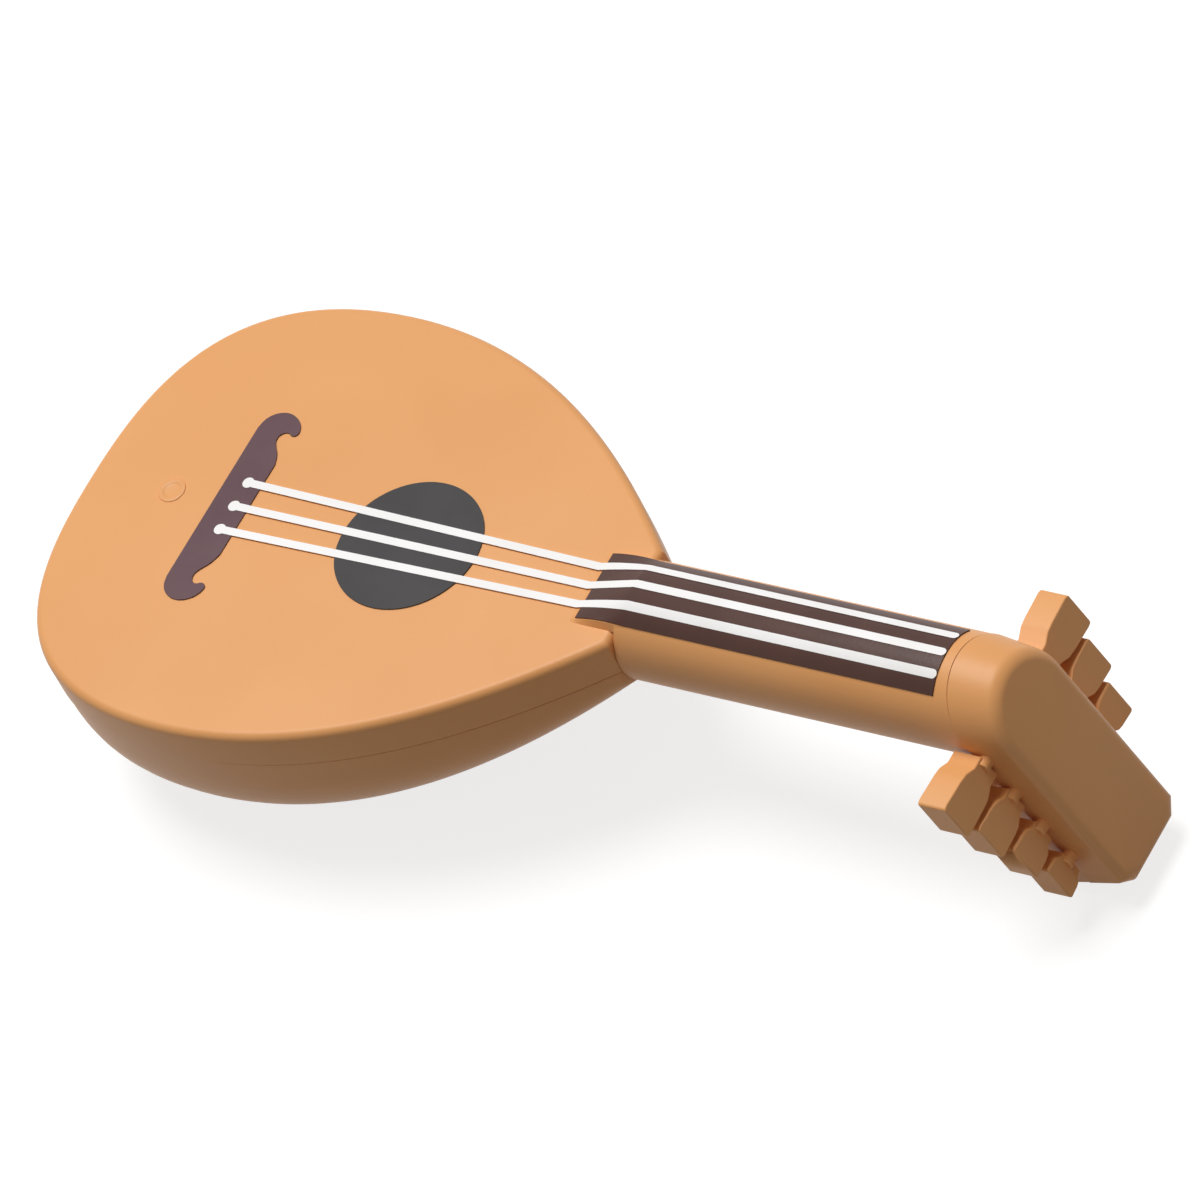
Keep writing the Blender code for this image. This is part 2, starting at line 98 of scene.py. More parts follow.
aim = VIEW_AHEAD * FOCAL_PIXELS
aim += VIEW_RIGHT * (PICTURE / 2 - AXIS_PIXEL[0]) + VIEW_DOWN * (PICTURE / 2 - AXIS_PIXEL[1])
swing = VIEW_AHEAD.rotation_difference(aim.normalized())
camera_axes = [swing @ VIEW_RIGHT, -(swing @ VIEW_DOWN), -(swing @ VIEW_AHEAD)]
camera_place = CAMERA_ORIGIN - VIEW_AHEAD * DISTANCE
camera_rows = []
for row in range(3):
    camera_rows.append([axis[row] for axis in camera_axes] + [camera_place[row] * MM])
camera_rows.append([0, 0, 0, 1])
camera_data = bpy.data.cameras.new("camera")
camera_data.sensor_width = SENSOR
camera_data.lens = FOCAL_PIXELS * SENSOR / PICTURE
camera_data.clip_start = CLIP_START
camera = bpy.data.objects.new("camera", camera_data)
camera.matrix_world = to_world @ Matrix(camera_rows)
bpy.context.scene.collection.objects.link(camera)
bpy.context.scene.camera = camera
print("lens", round(camera_data.lens, 1), "mm")

# %% [markdown]
# The light is a plain studio: a soft lamp from above and a little behind the tail, so that the
# soundboard is the brightest face, and a pale room that fills the sides. A sun lamp with a wide
# angle gives soft shadows wherever it stands, so it is simpler here than an area lamp.

# %% Lamp
SUN_DIRECTION = Vector((-0.32, 0.17, 0.93))
SUN_STRENGTH = 2.66
SUN_ANGLE = radians(34)

scene = bpy.context.scene
scene.view_settings.view_transform = "Standard"
sun_data = bpy.data.lights.new("soft_lamp", "SUN")
sun_data.energy = SUN_STRENGTH
sun_data.angle = SUN_ANGLE
sun = bpy.data.objects.new("soft_lamp", sun_data)
sun.rotation_euler = SUN_DIRECTION.to_track_quat("Z", "Y").to_euler()
scene.collection.objects.link(sun)
print("lamp strength", SUN_STRENGTH)

# %% [markdown]
# The room has to look white behind the lute, and still throw only a little light on it. More
# light would give the white too, but it would wash out the plastic. The Light Path node tells
# where a ray comes from, so the room is at full strength for the camera and for reflections,
# and faint for everything else.

# %% Room
ROOM_STRENGTH = 0.145
WHITE_LIGHT = (1.0, 1.0, 1.0, 1.0)


def seen_directly(nodes, links):
    """1 where the camera or a reflection looks, 0 for light that falls on the lute."""
    path = nodes.new("ShaderNodeLightPath")
    largest = nodes.new("ShaderNodeMath")
    largest.operation = "MAXIMUM"
    links.new(path.outputs["Is Camera Ray"], largest.inputs[0])
    links.new(path.outputs["Is Glossy Ray"], largest.inputs[1])
    with_glass = nodes.new("ShaderNodeMath")
    with_glass.operation = "MAXIMUM"
    links.new(largest.outputs[0], with_glass.inputs[0])
    links.new(path.outputs["Is Transmission Ray"], with_glass.inputs[1])
    return with_glass.outputs[0]


world = bpy.data.worlds.new("pale_room")
world.use_nodes = True
scene.world = world
room_nodes = world.node_tree.nodes
room_links = world.node_tree.links
level = room_nodes.new("ShaderNodeMapRange")
level.inputs["To Min"].default_value = ROOM_STRENGTH
level.inputs["To Max"].default_value = 1.0
room_links.new(seen_directly(room_nodes, room_links), level.inputs["Value"])
room_nodes["Background"].inputs["Color"].default_value = WHITE_LIGHT
room_links.new(level.outputs["Result"], room_nodes["Background"].inputs["Strength"])
print("room strength", ROOM_STRENGTH, "on the lute and 1 where it is seen")

# %% [markdown]
# The floor is a sheet of matte paper. Its own colour is grey, so that it throws little light up
# at the bowl. A glow that only the camera and reflections see takes its lit part to nearly
# white, and the shadow stays on it.

# %% Floor
FLOOR_SIZE = 1.2
FLOOR_GREY = 0.34
FLOOR_GLOW = 0.79
PAPER_ROUGHNESS = 0.9
PAPER_SHINE = 0.1

half_floor = FLOOR_SIZE / 2
corner_signs = ((-1, -1), (1, -1), (1, 1), (-1, 1))
floor_corners = [(u * half_floor, v * half_floor, 0.0) for u, v in corner_signs]
floor_mesh = bpy.data.meshes.new("floor")
floor_mesh.from_pydata(floor_corners, [], [(0, 1, 2, 3)])
floor = bpy.data.objects.new("floor", floor_mesh)
scene.collection.objects.link(floor)
paper = bpy.data.materials.new("white_paper")
paper.use_nodes = True
paper_nodes = paper.node_tree.nodes
paper_links = paper.node_tree.links
paper_shader = paper_nodes["Principled BSDF"]
paper_shader.inputs["Base Color"].default_value = (FLOOR_GREY, FLOOR_GREY, FLOOR_GREY, 1.0)
paper_shader.inputs["Roughness"].default_value = PAPER_ROUGHNESS
paper_shader.inputs["Specular IOR Level"].default_value = PAPER_SHINE
paper_shader.inputs["Emission Color"].default_value = WHITE_LIGHT
glow = paper_nodes.new("ShaderNodeMapRange")
glow.inputs["To Max"].default_value = FLOOR_GLOW
paper_links.new(seen_directly(paper_nodes, paper_links), glow.inputs["Value"])
paper_links.new(glow.outputs["Result"], paper_shader.inputs["Emission Strength"])
floor_mesh.materials.append(paper)
print("floor", FLOOR_SIZE, "m square")

# %% [markdown]
# Moulded plastic isn't a flat colour. The pigment streams a little as it fills the mould, and
# the steel leaves a fine grain. Each material could have its own noise nodes, but one shader
# node group gives both effects, as two values from 0 to 1, and every plastic or ink finish uses
# it at its own scale.

# %% The mould's grain, shared by all finishes
CLOUD_SCALE = 150.0
INK_CLOUD_SCALE = 400.0
GRAIN_SCALE = 9000.0
CLOUD_DETAIL = 3.0
GRAIN_DETAIL = 2.0


def new_group(name, inputs, outputs):
    """An empty shader node group with number inputs and outputs."""
    group = bpy.data.node_groups.new(name, "ShaderNodeTree")
    for title, value in inputs:
        socket = group.interface.new_socket(title, in_out="INPUT", socket_type="NodeSocketFloat")
        socket.default_value = value
    for title in outputs:
        group.interface.new_socket(title, in_out="OUTPUT", socket_type="NodeSocketFloat")
    return group


def mould_grain():
    """Cloud: slow streaks of pigment. Grain: the fine texture of the mould. Both run 0 to 1."""
    inputs = [("Cloud Scale", CLOUD_SCALE), ("Grain Scale", GRAIN_SCALE)]
    group = new_group("mould_grain", inputs, ["Cloud", "Grain"])
    nodes = group.nodes
    links = group.links
    enter = nodes.new("NodeGroupInput")
    leave = nodes.new("NodeGroupOutput")
    place = nodes.new("ShaderNodeTexCoord")
    noises = (("Cloud Scale", "Cloud", CLOUD_DETAIL), ("Grain Scale", "Grain", GRAIN_DETAIL))
    for title, output, detail in noises:
        noise = nodes.new("ShaderNodeTexNoise")
        noise.inputs["Detail"].default_value = detail
        links.new(place.outputs["Object"], noise.inputs["Vector"])
        links.new(enter.outputs[title], noise.inputs["Scale"])
        links.new(noise.outputs["Fac"], leave.inputs[output])
    return group


GRAIN = mould_grain()
print("shared group", GRAIN.name)

# %% [markdown]
# A finish is one Principled shader. The cloud picks a colour between two near ones, and the
# grain varies the roughness and lifts the surface through a Bump node. Real grain is far too
# fine to model as geometry. Colours are written as they are seen on a screen, because that is
# how they were judged, and turned into the linear light that a shader wants.

# %% How a finish is made
CLOUD_LOW = 0.3
CLOUD_HIGH = 0.7
ROUGHNESS_SWING = 0.04
GRAIN_HEIGHT = 0.01
PLASTIC_IOR = 1.5


def srgb(red, green, blue):
    """A colour as it is seen on a screen, as linear light."""
    linear = []
    for value in (red, green, blue):
        part = value / 255
        linear.append(part / 12.92 if part <= 0.04045 else ((part + 0.055) / 1.055) ** 2.4)
    return (*linear, 1.0)


def finish(name, dark, light, roughness, bump, cloud_scale, shine):
    """A moulded or printed finish that wavers between two near colours, with a fine grain."""
    material = bpy.data.materials.new(name)
    material.use_nodes = True
    nodes = material.node_tree.nodes
    links = material.node_tree.links
    shader = nodes["Principled BSDF"]
    grain = nodes.new("ShaderNodeGroup")
    grain.node_tree = GRAIN
    grain.inputs["Cloud Scale"].default_value = cloud_scale
    grain.inputs["Grain Scale"].default_value = GRAIN_SCALE
    colours = nodes.new("ShaderNodeValToRGB")
    colours.color_ramp.elements[0].position = CLOUD_LOW
    colours.color_ramp.elements[0].color = dark
    colours.color_ramp.elements[1].position = CLOUD_HIGH
    colours.color_ramp.elements[1].color = light
    links.new(grain.outputs["Cloud"], colours.inputs["Fac"])
    links.new(colours.outputs["Color"], shader.inputs["Base Color"])
    gloss = nodes.new("ShaderNodeMapRange")
    gloss.inputs["To Min"].default_value = roughness - ROUGHNESS_SWING
    gloss.inputs["To Max"].default_value = roughness + ROUGHNESS_SWING
    links.new(grain.outputs["Grain"], gloss.inputs["Value"])
    links.new(gloss.outputs["Result"], shader.inputs["Roughness"])
    height = nodes.new("ShaderNodeBump")
    height.inputs["Strength"].default_value = bump
    height.inputs["Distance"].default_value = GRAIN_HEIGHT * MM
    links.new(grain.outputs["Grain"], height.inputs["Height"])
    links.new(height.outputs["Normal"], shader.inputs["Normal"])
    shader.inputs["IOR"].default_value = PLASTIC_IOR
    shader.inputs["Specular IOR Level"].default_value = shine
    return material


print("finish recipe ready")

# %% [markdown]
# The lute has one plastic and four inks. The charcoal and plum inks are the dullest, and the
# brown of the fingerboard is the smoothest, because it takes a bright line from the lamp where
# it bends over the round neck.

# %% The finishes
ORANGE = finish(
    "orange_plastic", srgb(230, 162, 99), srgb(236, 170, 108),
    roughness=0.42, bump=0.25, cloud_scale=CLOUD_SCALE, shine=0.3,
)
CHARCOAL = finish(
    "charcoal_ink", srgb(62, 60, 61), srgb(72, 70, 71),
    roughness=0.5, bump=0.35, cloud_scale=INK_CLOUD_SCALE, shine=0.15,
)
PLUM = finish(
    "plum_ink", srgb(96, 70, 76), srgb(106, 82, 87),
    roughness=0.5, bump=0.35, cloud_scale=INK_CLOUD_SCALE, shine=0.15,
)
BROWN = finish(
    "brown_ink", srgb(70, 42, 34), srgb(83, 53, 45),
    roughness=0.34, bump=0.3, cloud_scale=INK_CLOUD_SCALE, shine=0.25,
)
WHITE = finish(
    "white_ink", srgb(246, 243, 240), srgb(254, 253, 252),
    roughness=0.45, bump=0.2, cloud_scale=INK_CLOUD_SCALE, shine=0.3,
)
print("finishes", [material.name for material in (ORANGE, CHARCOAL, PLUM, BROWN, WHITE)])

# %% [markdown]
# Every piece ends its making in the same way: points that fall together are joined, the faces
# are turned outwards, and the shape is moved from the lute's own frame to the world. Then it
# rides on the lute's only body and stands for its solid. Smooth shading with sharp edges by
# angle keeps the rounded places soft and the moulded edges crisp.

# %% From shape to piece
WELD_DISTANCE = 0.0004
SHARP_ANGLE = radians(32)


def place_piece(shape, name, material, node, sharp_angle):
    """Move a finished shape into the world as a piece on the lute's body, and hide the solid it replaces.
    """
    bmesh.ops.remove_doubles(shape, verts=shape.verts, dist=WELD_DISTANCE * MM)
    bmesh.ops.recalc_face_normals(shape, faces=shape.faces)
    shape.transform(to_world)
    mesh = bpy.data.meshes.new(name)
    shape.to_mesh(mesh)
    shape.free()
    mesh.shade_smooth()
    mesh.set_sharp_from_angle(angle=sharp_angle)
    mesh.materials.append(material)
    piece = bpy.data.objects.new(name, mesh)
    scene.collection.objects.link(piece)
    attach(piece, "root")
    if node:
        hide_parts(node)
    return piece


print("edges sharper than", round(degrees(SHARP_ANGLE)), "degrees stay crisp")

# %% [markdown]
# Nearly all pieces are lofted: a list of rings, each with the same number of points, is skinned
# and capped. Primitives with Boolean cuts could give the same shapes, but a loft says the
# profile in plain numbers, and its rows of faces shade evenly.

# %% Lofting
def make_piece(name, lofts, material, node):
    """Skin one or more stacks of rings, cap their ends, and place the piece."""
    shape = bmesh.new()
    for rings in lofts:
        rows = [[shape.verts.new(Vector(point) * MM) for point in ring] for ring in rings]
        count = len(rows[0])
        for low, high in zip(rows, rows[1:]):
            for k in range(count):
                after = (k + 1) % count
                shape.faces.new((low[k], low[after], high[after], high[k]))
        shape.faces.new(rows[0])
        shape.faces.new(rows[-1])
    return place_piece(shape, name, material, node, SHARP_ANGLE)


def circle(radius, sides):
    """Points round a circle, as pairs."""
    return [(radius * cos(2 * pi * k / sides), radius * sin(2 * pi * k / sides)) for k in range(sides)]


def spread(first, last, steps):
    """Evenly spaced values from first to last."""
    return [first + (last - first) * k / steps for k in range(steps + 1)]


print("a quarter turn in three steps", [round(degrees(turn)) for turn in spread(0.0, pi / 2, 3)])

# %% [markdown]
# The soundboard's outline is two curves on each side: one from the flat nose at the neck out to
# the widest place, and one from there round to the tail. A traced line would need dozens of
# points and would wobble. Two cubic curves need seven, and they are smooth where they meet,
# because both run straight along the lute there.

# %% Outline of the body
TAIL_X = -10.55
WIDEST_X = -4.05
NOSE_X = 7.20
BODY_HALF_WIDTH = 7.13
NOSE_HALF_WIDTH = 1.60
TAIL_HANDLE = 2.60
REAR_HANDLE = 6.26
FRONT_HANDLE = 4.50
SHOULDER_HANDLE = 4.30
SHOULDER_ANGLE = radians(44)
OUTLINE_STEPS = 44


def bezier(start, handle_a, handle_b, end, steps):
    """Points along one cubic curve, with both ends."""
    corners = (start, handle_a, handle_b, end)
    curve = []
    for t in spread(0.0, 1.0, steps):
        weights = ((1 - t) ** 3, 3 * t * (1 - t) ** 2, 3 * t * t * (1 - t), t ** 3)
        pair = [sum(w * corner[axis] for w, corner in zip(weights, corners)) for axis in (0, 1)]
        curve.append(tuple(pair))
    return curve


def half_outline():
    """The left half of the outline, from the nose back to the tail."""
    widest = (WIDEST_X, BODY_HALF_WIDTH)
    shoulder_x = NOSE_X - SHOULDER_HANDLE * cos(SHOULDER_ANGLE)
    shoulder_y = NOSE_HALF_WIDTH + SHOULDER_HANDLE * sin(SHOULDER_ANGLE)
    nose = (NOSE_X, NOSE_HALF_WIDTH)
    front_handle = (WIDEST_X + FRONT_HANDLE, BODY_HALF_WIDTH)
    rear_handle = (WIDEST_X - REAR_HANDLE, BODY_HALF_WIDTH)
    front = bezier(nose, (shoulder_x, shoulder_y), front_handle, widest, OUTLINE_STEPS)
    rear = bezier(widest, rear_handle, (TAIL_X, TAIL_HANDLE), (TAIL_X, 0.0), OUTLINE_STEPS)
    return front + rear[1:]


print("half outline", len(half_outline()), "points")

# %% [markdown]
# Rounded edges, the wall and the bowl's step all follow the same outline, moved inwards. Scaling
# it would be easier, but it would move the wide places more than the narrow ones. So each point
# moves at right angles to the line, and a little further at a corner.

# %% Outline moved inwards
CORNER_LIMIT = 0.3


def full_outline(inset):
    """The whole outline, moved inwards by the same distance everywhere."""
    half = half_outline()
    loop = half + [(x, -y) for x, y in reversed(half[:-1])]
    moved = []
    for k, corner in enumerate(loop):
        here = Vector(corner)
        run_in = (here - Vector(loop[k - 1])).normalized()
        run_out = (Vector(loop[(k + 1) % len(loop)]) - here).normalized()
        inward = Vector((-run_in.y - run_out.y, run_in.x + run_out.x)).normalized()
        straightness = inward.dot(Vector((-run_in.y, run_in.x)))
        moved.append(tuple(here + inward * inset / max(CORNER_LIMIT, straightness)))
    return moved


print("whole outline", len(full_outline(0.0)), "points")

# %% [markdown]
# The front half of the body is one moulding: the soundboard, and a short rim round it down to
# the seam. Its upper edge is rounded by a quarter circle of rings, which needs no Bevel
# modifier, and a small chamfer at the seam draws the fine dark line that parts the two halves.

# %% Soundboard and rim
EDGE_RADIUS = 0.24
EDGE_STEPS = 7
SEAM_DEPTH = 1.22
SEAM_CHAMFER = 0.03
BOARD_THICKNESS = 0.75
RIM_WALL = 0.46

board_rings = []
for turn in spread(0.0, pi / 2, EDGE_STEPS):
    drop = EDGE_RADIUS * (1 - cos(turn))
    board_rings.append([(x, y, -drop) for x, y in full_outline(EDGE_RADIUS * (1 - sin(turn)))])
board_rings.append([(x, y, SEAM_CHAMFER - SEAM_DEPTH) for x, y in full_outline(0.0)])
board_rings.append([(x, y, -SEAM_DEPTH) for x, y in full_outline(SEAM_CHAMFER)])
board_rings.append([(x, y, -SEAM_DEPTH) for x, y in full_outline(RIM_WALL)])
board_rings.append([(x, y, -BOARD_THICKNESS) for x, y in full_outline(RIM_WALL)])
front_shell = make_piece("soundboard_and_rim", [board_rings], ORANGE, "front_shell")
print("soundboard", len(front_shell.data.polygons), "faces")

# %% [markdown]
# Near the tail is the gate mark, a small round scar where the plastic was let into the mould.
# A bump in the material would vanish from the side, so it is a low ring of real geometry, which
# is turned from a short profile of radius and height.

# %% Gate mark
GATE_CENTRE = (-7.82, 0.08)
GATE_PROFILE = [
    (0.40, 0.0), (0.385, 0.025), (0.34, 0.036), (0.27, 0.034),
    (0.235, 0.012), (0.20, 0.004), (0.05, 0.008),
]
GATE_SIDES = 40

gate_rings = []
for radius, height in GATE_PROFILE:
    pairs = circle(radius, GATE_SIDES)
    gate_rings.append([(GATE_CENTRE[0] + u, GATE_CENTRE[1] + v, height) for u, v in pairs])
gate_mark = make_piece("gate_mark", [gate_rings], ORANGE, None)
print("gate mark", len(gate_mark.data.polygons), "faces")

# %% [markdown]
# The bowl hangs below the seam, and steps in by a hair there. Each cross-section is a boxy half
# ellipse whose depth goes with its width, so the bowl is deepest where the body is widest. A
# sculpted or subdivided bowl would need many control points. This rule has one depth ratio and
# one exponent, and it follows the outline by itself. The rows are open, so the bowl has its own
# skinning, with one flat face across its rim.

# %% Bowl
BOWL_INSET = 0.03
BOWL_DEPTH_RATIO = 0.59
BOWL_EXPONENT = 3.0
BOWL_STEPS = 44
BOWL_GAP = 0.02
BOWL_SHARP_ANGLE = radians(50)


def bowl_shape():
    """Skin the bowl's cross-sections from the nose to the tail."""
    half = full_outline(BOWL_INSET)[:len(half_outline())]
    shape = bmesh.new()
    power = 2.0 / BOWL_EXPONENT
    rows = []
    for x, half_width in half:
        row = []
        for k, turn in enumerate(spread(0.0, pi, BOWL_STEPS)):
            side = 1 if k < BOWL_STEPS / 2 else -1
            across = side * half_width * abs(cos(turn)) ** power
            down = BOWL_DEPTH_RATIO * half_width * abs(sin(turn)) ** power
            row.append(shape.verts.new(Vector((x, across, -SEAM_DEPTH - BOWL_GAP - down)) * MM))
        rows.append(row)
    for low, high in zip(rows, rows[1:]):
        for k in range(BOWL_STEPS):
            shape.faces.new((low[k], low[k + 1], high[k + 1], high[k]))
    shape.faces.new(rows[0])
    rim = [row[0] for row in rows] + [row[-1] for row in reversed(rows)]
    shape.faces.new(rim)
    return shape


bowl = place_piece(bowl_shape(), "bowl", ORANGE, "back_shell", BOWL_SHARP_ANGLE)
print("bowl", len(bowl.data.polygons), "faces")

# %% [markdown]
# The neck is a round bar whose top stands higher than the soundboard. A ramp leads up from the
# board to the bar. Its height is one rule that starts flat on the board and ends round on the
# bar. A rule is better here than a modelled patch, because the printed lines later use it too,
# and so they lie on the ramp exactly.

# %% Height of the playing surface
NECK_RADIUS = 1.59
NECK_AXIS_Z = -0.986
RAMP_START_X = 5.76
RAMP_END_X = 7.50


def top_height(x, y, lift):
    """Height of the surface that carries the print: soundboard, then ramp, then round bar."""
    share = min(1.0, max(0.0, (x - RAMP_START_X) / (RAMP_END_X - RAMP_START_X)))
    crest = NECK_AXIS_Z + NECK_RADIUS + lift
    arch = NECK_AXIS_Z + sqrt(max((NECK_RADIUS + lift) ** 2 - y * y, 0.0))
    return share * (crest - (crest - arch) * share) + (1 - share) * lift


print("top of the bar", round(top_height(RAMP_END_X, 0.0, 0.0), 3), "mm above the board")

# %% [markdown]
# The bar is lofted along x. Its first rings are pressed down to the ramp's height, so that it
# doesn't stick out of it, and its last ring is cut on the slant to meet the leaning pegbox. The
# ramp is a second loft in the same piece, with a skirt that sinks a hair into the board.

# %% Neck bar and ramp
NECK_SIDES = 96
BAR_STEPS = 4
JOINT_GAP = 0.02
KNUCKLE_DEPTH = 1.31
RAMP_STEPS = 16
RAMP_HALF_WIDTH = 1.10
RAMP_SKIRT = 0.10
RAMP_SKIRT_Z = -0.01
RAMP_FOOT_GAP = 0.02


def mitre_x(z, depth):
    """Where the plane at some depth behind the pegbox's face crosses a height."""
    return PEGBOX_FRONT_X - (depth + z * sin(LEAN)) / cos(LEAN)


def bar_point(x, y, z):
    """A point of the round bar, pressed down where the ramp is still rising."""
    return (x, y, min(z, top_height(x, y, 0.0)) if z > 0 else z)


bar_ring = [(u, NECK_AXIS_Z + v) for u, v in circle(NECK_RADIUS, NECK_SIDES)]
bar_rings = []
for x in spread(NOSE_X + JOINT_GAP, RAMP_END_X, BAR_STEPS):
    bar_rings.append([bar_point(x, y, z) for y, z in bar_ring])
bar_rings.append([(mitre_x(z, KNUCKLE_DEPTH + JOINT_GAP), y, z) for y, z in bar_ring])

skirt = RAMP_HALF_WIDTH + RAMP_SKIRT
ramp_rings = []
for x in spread(RAMP_START_X + RAMP_FOOT_GAP, RAMP_END_X, RAMP_STEPS):
    across = spread(-RAMP_HALF_WIDTH, RAMP_HALF_WIDTH, RAMP_STEPS)
    crown = [(x, y, top_height(x, y, 0.0)) for y in across]
    ramp_rings.append(crown + [(x, skirt, RAMP_SKIRT_Z), (x, -skirt, RAMP_SKIRT_Z)])
neck = make_piece("neck_bar", [bar_rings, ramp_rings], ORANGE, "neck")
print("neck", len(neck.data.polygons), "faces")

# %% [markdown]
# The pegbox is a slab with a round knuckle at the top that takes the end of the bar. It is
# lofted from back to front, and its front edge is rounded off. The knuckle grows a little
# towards the back, so that it ends about as wide as the bar.

# %% Pegbox slab
PEGBOX_HALF_WIDTH = 1.45
PEGBOX_LENGTH = 6.78
ARCH_HEIGHT = 1.50
KNUCKLE_GROWTH = 0.16
PEGBOX_EDGE_RADIUS = 0.28
TIP_CHAMFER = (0.38, 0.34)
ARCH_STEPS = 48


def pegbox_ring(depth, inset):
    """Outline of the pegbox at a depth: an arch on the bar's axis, straight sides, cut corners."""
    growth = KNUCKLE_GROWTH * depth / KNUCKLE_DEPTH
    centre = (-NECK_AXIS_Z - depth * sin(LEAN)) / cos(LEAN)
    half_width = PEGBOX_HALF_WIDTH + growth - inset
    height = ARCH_HEIGHT + growth - inset
    arch = spread(0.0, pi, ARCH_STEPS)
    loop = [(centre - height * sin(turn), half_width * cos(turn)) for turn in arch]
    end = PEGBOX_LENGTH - inset
    tip_half = PEGBOX_HALF_WIDTH - inset
    corner = [(end - TIP_CHAMFER[1], tip_half), (end, tip_half - TIP_CHAMFER[0])]
    loop += [(along, -across) for along, across in corner]
    loop += reversed(corner)
    return [pegbox_point(along, across, depth) for along, across in loop]


slab_rings = [pegbox_ring(KNUCKLE_DEPTH, 0.0)]
for turn in spread(0.0, pi / 2, EDGE_STEPS):
    depth = PEGBOX_EDGE_RADIUS * (1 - sin(turn))
    slab_rings.append(pegbox_ring(depth, PEGBOX_EDGE_RADIUS * (1 - cos(turn))))
print("slab", len(slab_rings), "rings of", len(slab_rings[0]), "points")

# %% [markdown]
# Below the bar the slab is thicker. That part is a second loft in the same piece, a hair
# narrower than the slab, so that the two don't share a face that would flicker.

# %% Pegbox back block
BACK_BLOCK_INSET = 0.01
BACK_BLOCK_START = 2.45
BACK_BLOCK_DEPTH = 2.20
BACK_BLOCK_EDGE = 0.12


def block_ring(depth, inset):
    """Outline of the thicker part of the slab below the bar."""
    half_width = PEGBOX_HALF_WIDTH - BACK_BLOCK_INSET - inset
    end = PEGBOX_LENGTH - BACK_BLOCK_INSET - inset
    half = [(BACK_BLOCK_START + inset, half_width), (end - TIP_CHAMFER[1], half_width)]
    half.append((end, half_width - TIP_CHAMFER[0]))
    loop = half + [(along, -across) for along, across in reversed(half)]
    return [pegbox_point(along, across, depth) for along, across in loop]


block_rings = [block_ring(KNUCKLE_DEPTH / 2, 0.0)]
for turn in spread(0.0, pi / 2, EDGE_STEPS):
    depth = BACK_BLOCK_DEPTH - BACK_BLOCK_EDGE * (1 - sin(turn))
    block_rings.append(block_ring(depth, BACK_BLOCK_EDGE * (1 - cos(turn))))
pegbox = make_piece("pegbox_slab", [slab_rings, block_rings], ORANGE, "pegbox")
print("pegbox", len(pegbox.data.polygons), "faces")

# %% [markdown]
# The pegs are flat paddles in a row down each side, four on the right and three on the left,
# shorter towards the tip. One outline gives them all: each point is a share of the paddle's
# length, and how far it flares from the thin root to the full height.

# %% Shape of a peg
FIRST_PEG_ALONG = 1.26
PEG_PITCH = 1.31
PEG_DEPTH = 1.35
PEG_THICKNESS = 0.80
PEG_HALF_HEIGHT = 0.58
PEG_NECK_HALF_HEIGHT = 0.38
PEG_START = 1.65
PEG_REACH = 3.55
PEG_REACH_STEP = 0.38
PADDLE_SHAPE = [
    (0.0, 0.0), (0.20, 0.0), (0.36, 0.70), (0.50, 0.87), (0.92, 1.0), (0.98, 0.88), (1.0, 0.66),
]
SHANK_DEPTH = 1.02
SHANK_RADIUS = 0.20
SHANK_END = 0.88
SHANK_SIDES = 32


def paddle_rings(side, number):
    """Front and back outline of one paddle."""
    middle = FIRST_PEG_ALONG + PEG_PITCH * number
    reach = PEG_REACH - PEG_REACH_STEP * number
    length = reach - PEG_START
    half = []
    for share, flare in PADDLE_SHAPE:
        height = PEG_NECK_HALF_HEIGHT + flare * (PEG_HALF_HEIGHT - PEG_NECK_HALF_HEIGHT)
        half.append((PEG_START + share * length, height))
    outline = half + [(across, -height) for across, height in reversed(half)]
    face = [pegbox_point(middle + height, side * across, PEG_DEPTH) for across, height in outline]
    rings = []
    for shift in (-0.5, 0.5):
        step = Vector((shift * PEG_THICKNESS / cos(LEAN), 0.0, 0.0))
        rings.append([point + step for point in face])
    return rings


def shank_rings(side, number):
    """The round pin that runs into the pegbox."""
    middle = FIRST_PEG_ALONG + PEG_PITCH * number
    pairs = circle(SHANK_RADIUS, SHANK_SIDES)
    ends = (SHANK_END, PEG_START + SHANK_RADIUS)
    return [[pegbox_point(middle + u, side * across, SHANK_DEPTH + v) for u, v in pairs] for across in ends]


print("longest peg reaches", PEG_REACH, "mm from the middle")

# %% [markdown]
# The real pegs' edges are soft from the mould. Rounding them in the outline would leave the
# front and back edges sharp, so a Bevel modifier softens all the edges of each peg at once.

# %% Pegs
PEG_ROWS = ((-1, "right", 4), (1, "left", 3))
PEG_BEVEL = 0.06
PEG_BEVEL_STEPS = 3
PEG_BEVEL_ANGLE = radians(35)

for side, word, count in PEG_ROWS:
    for number in range(count):
        node = f"{word}_peg_{number + 1}"
        lofts = [paddle_rings(side, number), shank_rings(side, number)]
        paddle = make_piece(node + "_paddle", lofts, ORANGE, node)
        soften = paddle.modifiers.new("softened_edges", "BEVEL")
        soften.width = PEG_BEVEL * MM
        soften.segments = PEG_BEVEL_STEPS
        soften.limit_method = "ANGLE"
        soften.angle_limit = PEG_BEVEL_ANGLE
    print(count, "pegs on the", word)

# %% [markdown]
# The decoration is printed, so it could be a colour mask in the plastic's material. But each ink
# is its own solid and has its own finish, so each is a thin layer here too. The sound hole is a
# plain disc. The bridge has a scroll at each end, drawn as a few points whose corners are cut
# again and again until the line is round.

